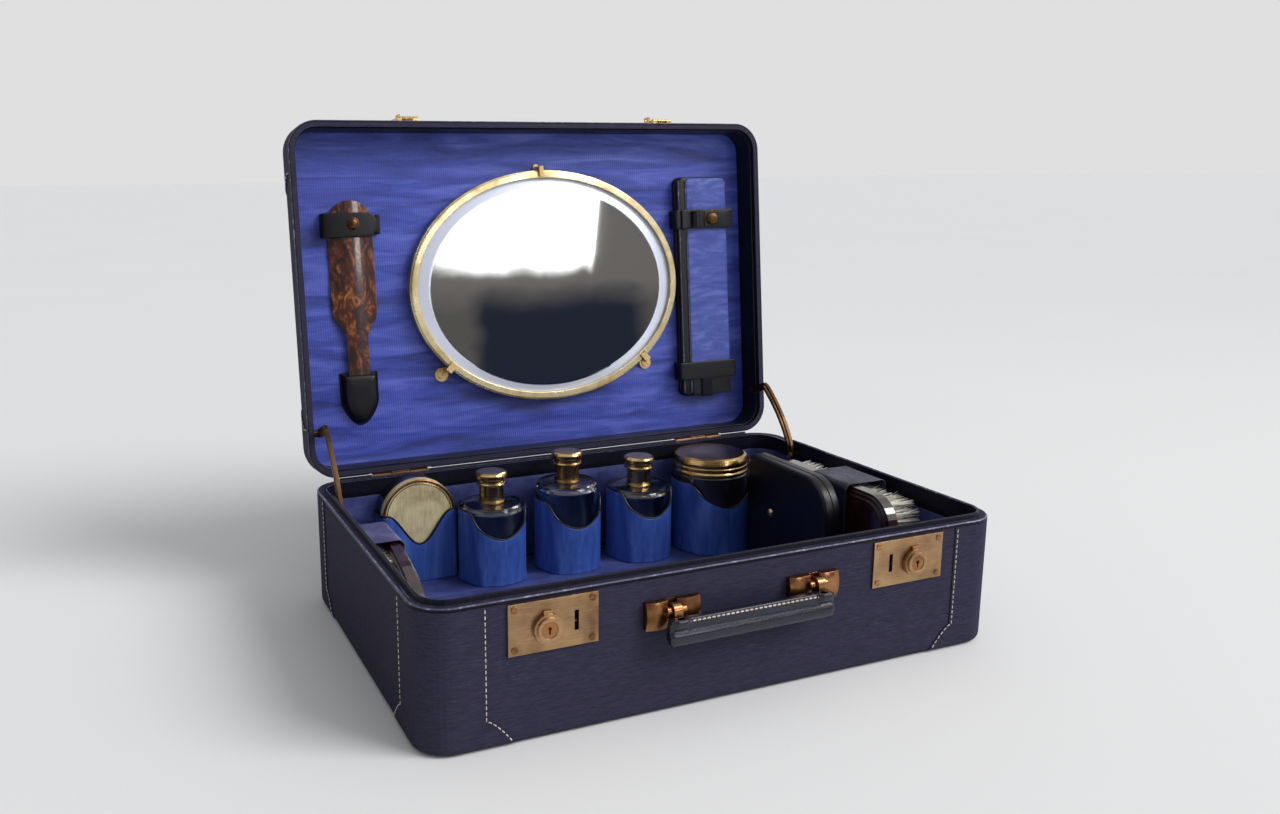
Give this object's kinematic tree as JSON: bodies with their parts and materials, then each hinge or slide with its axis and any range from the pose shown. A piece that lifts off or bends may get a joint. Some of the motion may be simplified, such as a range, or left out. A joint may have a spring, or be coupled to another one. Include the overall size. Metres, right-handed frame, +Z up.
{
  "type": "fitted dressing case",
  "caption": "Leather dressing case, open: silk-lined tray with bottles, jar, round box, brushes and jewel case; lid with oval mirror, shoehorn and manicure case.",
  "frame": {"origin": "middle of the flat underside of the base, on the surface the case stands on", "axes": "+X to the right along the case's length as seen from its front, +Y to the back where the lid's hinges are, +Z up"},
  "size_m": [0.457, 0.3896, 0.4042],
  "materials": {
    "navy_leather": "fine straight grain, satin",
    "dark_leather": "smooth, low sheen",
    "royal_silk": "watered silk, soft sheen",
    "lavender_silk": "plain silk, soft sheen",
    "lock_brass": "brushed, worn",
    "copper_brass": "polished, warm",
    "dark_brass": "tarnished",
    "gilt": "polished gilding",
    "pale_gilt": "brushed pale gilding",
    "mirror_silver": "silvered, bevelled",
    "clear_glass": "clear, polished",
    "smoky_glass": "smoky, polished",
    "amber_shell": "mottled amber, polished",
    "red_shell": "mottled dark red, polished",
    "bristle": "natural bristle, cream",
    "backing_wood": "plain board"
  },
  "bodies": {
    "base": {"base_tray": "navy_leather", "base_rim": "navy_leather", "base_corner_patches": "navy_leather", "base_lining": "royal_silk", "bottle_holders": "royal_silk", "jar_holder": "royal_silk", "box_holder": "royal_silk", "brush_bands": "lavender_silk", "lock_plates": "lock_brass", "lock_screws": "dark_brass", "handle_brackets": "copper_brass", "base_pins": "dark_brass", "base_hinge_leaves": "dark_brass", "base_stay_studs": "dark_brass"},
    "lid": {"lid_shell": "navy_leather", "lid_binding": "navy_leather", "lid_corner_patches": "navy_leather", "lid_panel": "royal_silk", "lid_lining": "royal_silk", "mirror_frame": "pale_gilt", "mirror_glass": "mirror_silver", "mirror_back": "backing_wood", "hasp_bases": "lock_brass", "lid_hinge_leaves": "dark_brass", "lid_stay_studs": "dark_brass", "horn_pocket": "dark_leather", "case_band": "dark_leather"},
    "hasp_left": {"hasp_left": "lock_brass"},
    "hasp_right": {"hasp_right": "lock_brass"},
    "stay_left": {"stay_left": "dark_brass"},
    "stay_right": {"stay_right": "dark_brass"},
    "clip_left": {"clip_left": "gilt"},
    "clip_right": {"clip_right": "gilt"},
    "clip_top": {"clip_top": "gilt"},
    "shoehorn": {"shoehorn": "amber_shell"},
    "horn_strap": {"horn_strap": "dark_leather"},
    "manicure_case": {"manicure_case": "dark_leather", "manicure_silk": "royal_silk"},
    "case_strap": {"case_strap": "dark_leather"},
    "handle": {"handle_grip": "navy_leather", "handle_loops": "copper_brass"},
    "knob_left": {"lock_knob_left": "copper_brass"},
    "knob_right": {"lock_knob_right": "copper_brass"},
    "key_left": {"key_barrel_left": "copper_brass"},
    "key_right": {"key_barrel_right": "copper_brass"},
    "bottle_left": {"bottle_left": "clear_glass"},
    "bottle_middle": {"bottle_middle": "clear_glass"},
    "bottle_right": {"bottle_right": "clear_glass"},
    "cap_left": {"cap_left": "gilt"},
    "cap_middle": {"cap_middle": "gilt"},
    "cap_right": {"cap_right": "gilt"},
    "jar": {"jar": "smoky_glass"},
    "jar_lid": {"jar_lid": "gilt"},
    "round_box": {"round_box": "smoky_glass"},
    "round_box_lid": {"round_box_lid": "pale_gilt"},
    "brush_left": {"brush_back_left": "red_shell", "bristles_left": "bristle"},
    "brush_right": {"brush_back_right": "red_shell", "bristles_right": "bristle"},
    "jewel_case": {"jewel_case": "dark_leather"}
  },
  "joints": [
    {"name": "lid_hinge", "type": "hinge", "parent": "base", "child": "lid", "pos_m": [0, 0.1515, 0.0979], "axis": [-1, 0, 0], "range_deg": [-96, 0]},
    {"name": "stay_left_pivot", "type": "hinge", "parent": "lid", "child": "stay_left", "pos_m": [-0.217, 0.15976, 0.13826], "axis": [-1, 0, 0], "range_deg": [0, 38.4]},
    {"name": "stay_right_pivot", "type": "hinge", "parent": "lid", "child": "stay_right", "pos_m": [0.217, 0.15976, 0.13826], "axis": [-1, 0, 0], "range_deg": [0, 38.4]},
    {"name": "hasp_left_hinge", "type": "hinge", "parent": "lid", "child": "hasp_left", "pos_m": [-0.1243, 0.18854, 0.39958], "axis": [-1, 0, 0], "range_deg": [-180, 0]},
    {"name": "hasp_right_hinge", "type": "hinge", "parent": "lid", "child": "hasp_right", "pos_m": [0.1243, 0.18854, 0.39958], "axis": [-1, 0, 0], "range_deg": [-180, 0]},
    {"name": "clip_left_swivel", "type": "hinge", "parent": "lid", "child": "clip_left", "pos_m": [-0.09887, 0.18702, 0.17465], "axis": [0, 0.9945, -0.1045], "range_deg": [0, 150]},
    {"name": "clip_right_swivel", "type": "hinge", "parent": "lid", "child": "clip_right", "pos_m": [0.1098, 0.18656, 0.17034], "axis": [0, 0.9945, -0.1045], "range_deg": [0, 150]},
    {"name": "clip_top_swivel", "type": "hinge", "parent": "lid", "child": "clip_top", "pos_m": [0.00321, 0.20627, 0.35783], "axis": [0, 0.9945, -0.1045], "range_deg": [0, 150]},
    {"name": "shoehorn_pull", "type": "slide", "parent": "lid", "child": "shoehorn", "axis": [0, 0.1045, 0.9945], "range_m": [0, 0.05]},
    {"name": "horn_strap_hinge", "type": "hinge", "parent": "lid", "child": "horn_strap", "pos_m": [-0.2, 0.20161, 0.30962], "axis": [0, -0.1045, -0.9945], "range_deg": [0, 90]},
    {"name": "manicure_pull", "type": "slide", "parent": "lid", "child": "manicure_case", "axis": [0, 0.1045, 0.9945], "range_m": [0, 0.03]},
    {"name": "case_strap_hinge", "type": "hinge", "parent": "lid", "child": "case_strap", "pos_m": [0.2042, 0.20122, 0.30594], "axis": [0, 0.1045, 0.9945], "range_deg": [0, 90]},
    {"name": "handle_swing", "type": "hinge", "parent": "base", "child": "handle", "pos_m": [0, -0.1565, 0.0745], "axis": [-1, 0, 0], "range_deg": [0, 95]},
    {"name": "knob_left_slide", "type": "slide", "parent": "base", "child": "knob_left", "axis": [-1, 0, 0], "range_m": [0, 0.004]},
    {"name": "key_left_turn", "type": "hinge", "parent": "knob_left", "child": "key_left", "pos_m": [-0.1448, -0.1532, 0.0757], "axis": [0, -1, 0], "range_deg": [0, 90]},
    {"name": "knob_right_slide", "type": "slide", "parent": "base", "child": "knob_right", "axis": [1, 0, 0], "range_m": [0, 0.004]},
    {"name": "key_right_turn", "type": "hinge", "parent": "knob_right", "child": "key_right", "pos_m": [0.1448, -0.1532, 0.0757], "axis": [0, -1, 0], "range_deg": [0, 90]},
    {"name": "bottle_left_lift", "type": "slide", "parent": "base", "child": "bottle_left", "axis": [0, 0, 1], "range_m": [0, 0.11]},
    {"name": "cap_left_lift", "type": "slide", "parent": "bottle_left", "child": "cap_left", "axis": [0, 0, 1], "range_m": [0, 0.03]},
    {"name": "bottle_middle_lift", "type": "slide", "parent": "base", "child": "bottle_middle", "axis": [0, 0, 1], "range_m": [0, 0.11]},
    {"name": "cap_middle_lift", "type": "slide", "parent": "bottle_middle", "child": "cap_middle", "axis": [0, 0, 1], "range_m": [0, 0.03]},
    {"name": "bottle_right_lift", "type": "slide", "parent": "base", "child": "bottle_right", "axis": [0, 0, 1], "range_m": [0, 0.11]},
    {"name": "cap_right_lift", "type": "slide", "parent": "bottle_right", "child": "cap_right", "axis": [0, 0, 1], "range_m": [0, 0.03]},
    {"name": "jar_lift", "type": "slide", "parent": "base", "child": "jar", "axis": [0, 0, 1], "range_m": [0, 0.11]},
    {"name": "jar_lid_lift", "type": "slide", "parent": "jar", "child": "jar_lid", "axis": [0, 0, 1], "range_m": [0, 0.04]},
    {"name": "round_box_lift", "type": "slide", "parent": "base", "child": "round_box", "axis": [0, 0, 1], "range_m": [0, 0.08]},
    {"name": "round_box_turn", "type": "hinge", "parent": "round_box", "child": "round_box_lid", "pos_m": [-0.14312, 0.1217, 0.0665], "axis": [0, -1, 0], "range_deg": [0, 90]},
    {"name": "brush_left_slide", "type": "slide", "parent": "base", "child": "brush_left", "axis": [0, -1, 0], "range_m": [0, 0.08]},
    {"name": "brush_right_slide", "type": "slide", "parent": "base", "child": "brush_right", "axis": [0, -1, 0], "range_m": [0, 0.05]},
    {"name": "jewel_case_lift", "type": "slide", "parent": "base", "child": "jewel_case", "axis": [0, 0, 1], "range_m": [0, 0.11]}
  ],
  "couplings": [
    {"joint": "stay_left_pivot", "follows": "lid_hinge", "ratio": -0.4},
    {"joint": "stay_right_pivot", "follows": "lid_hinge", "ratio": -0.4}
  ]
}
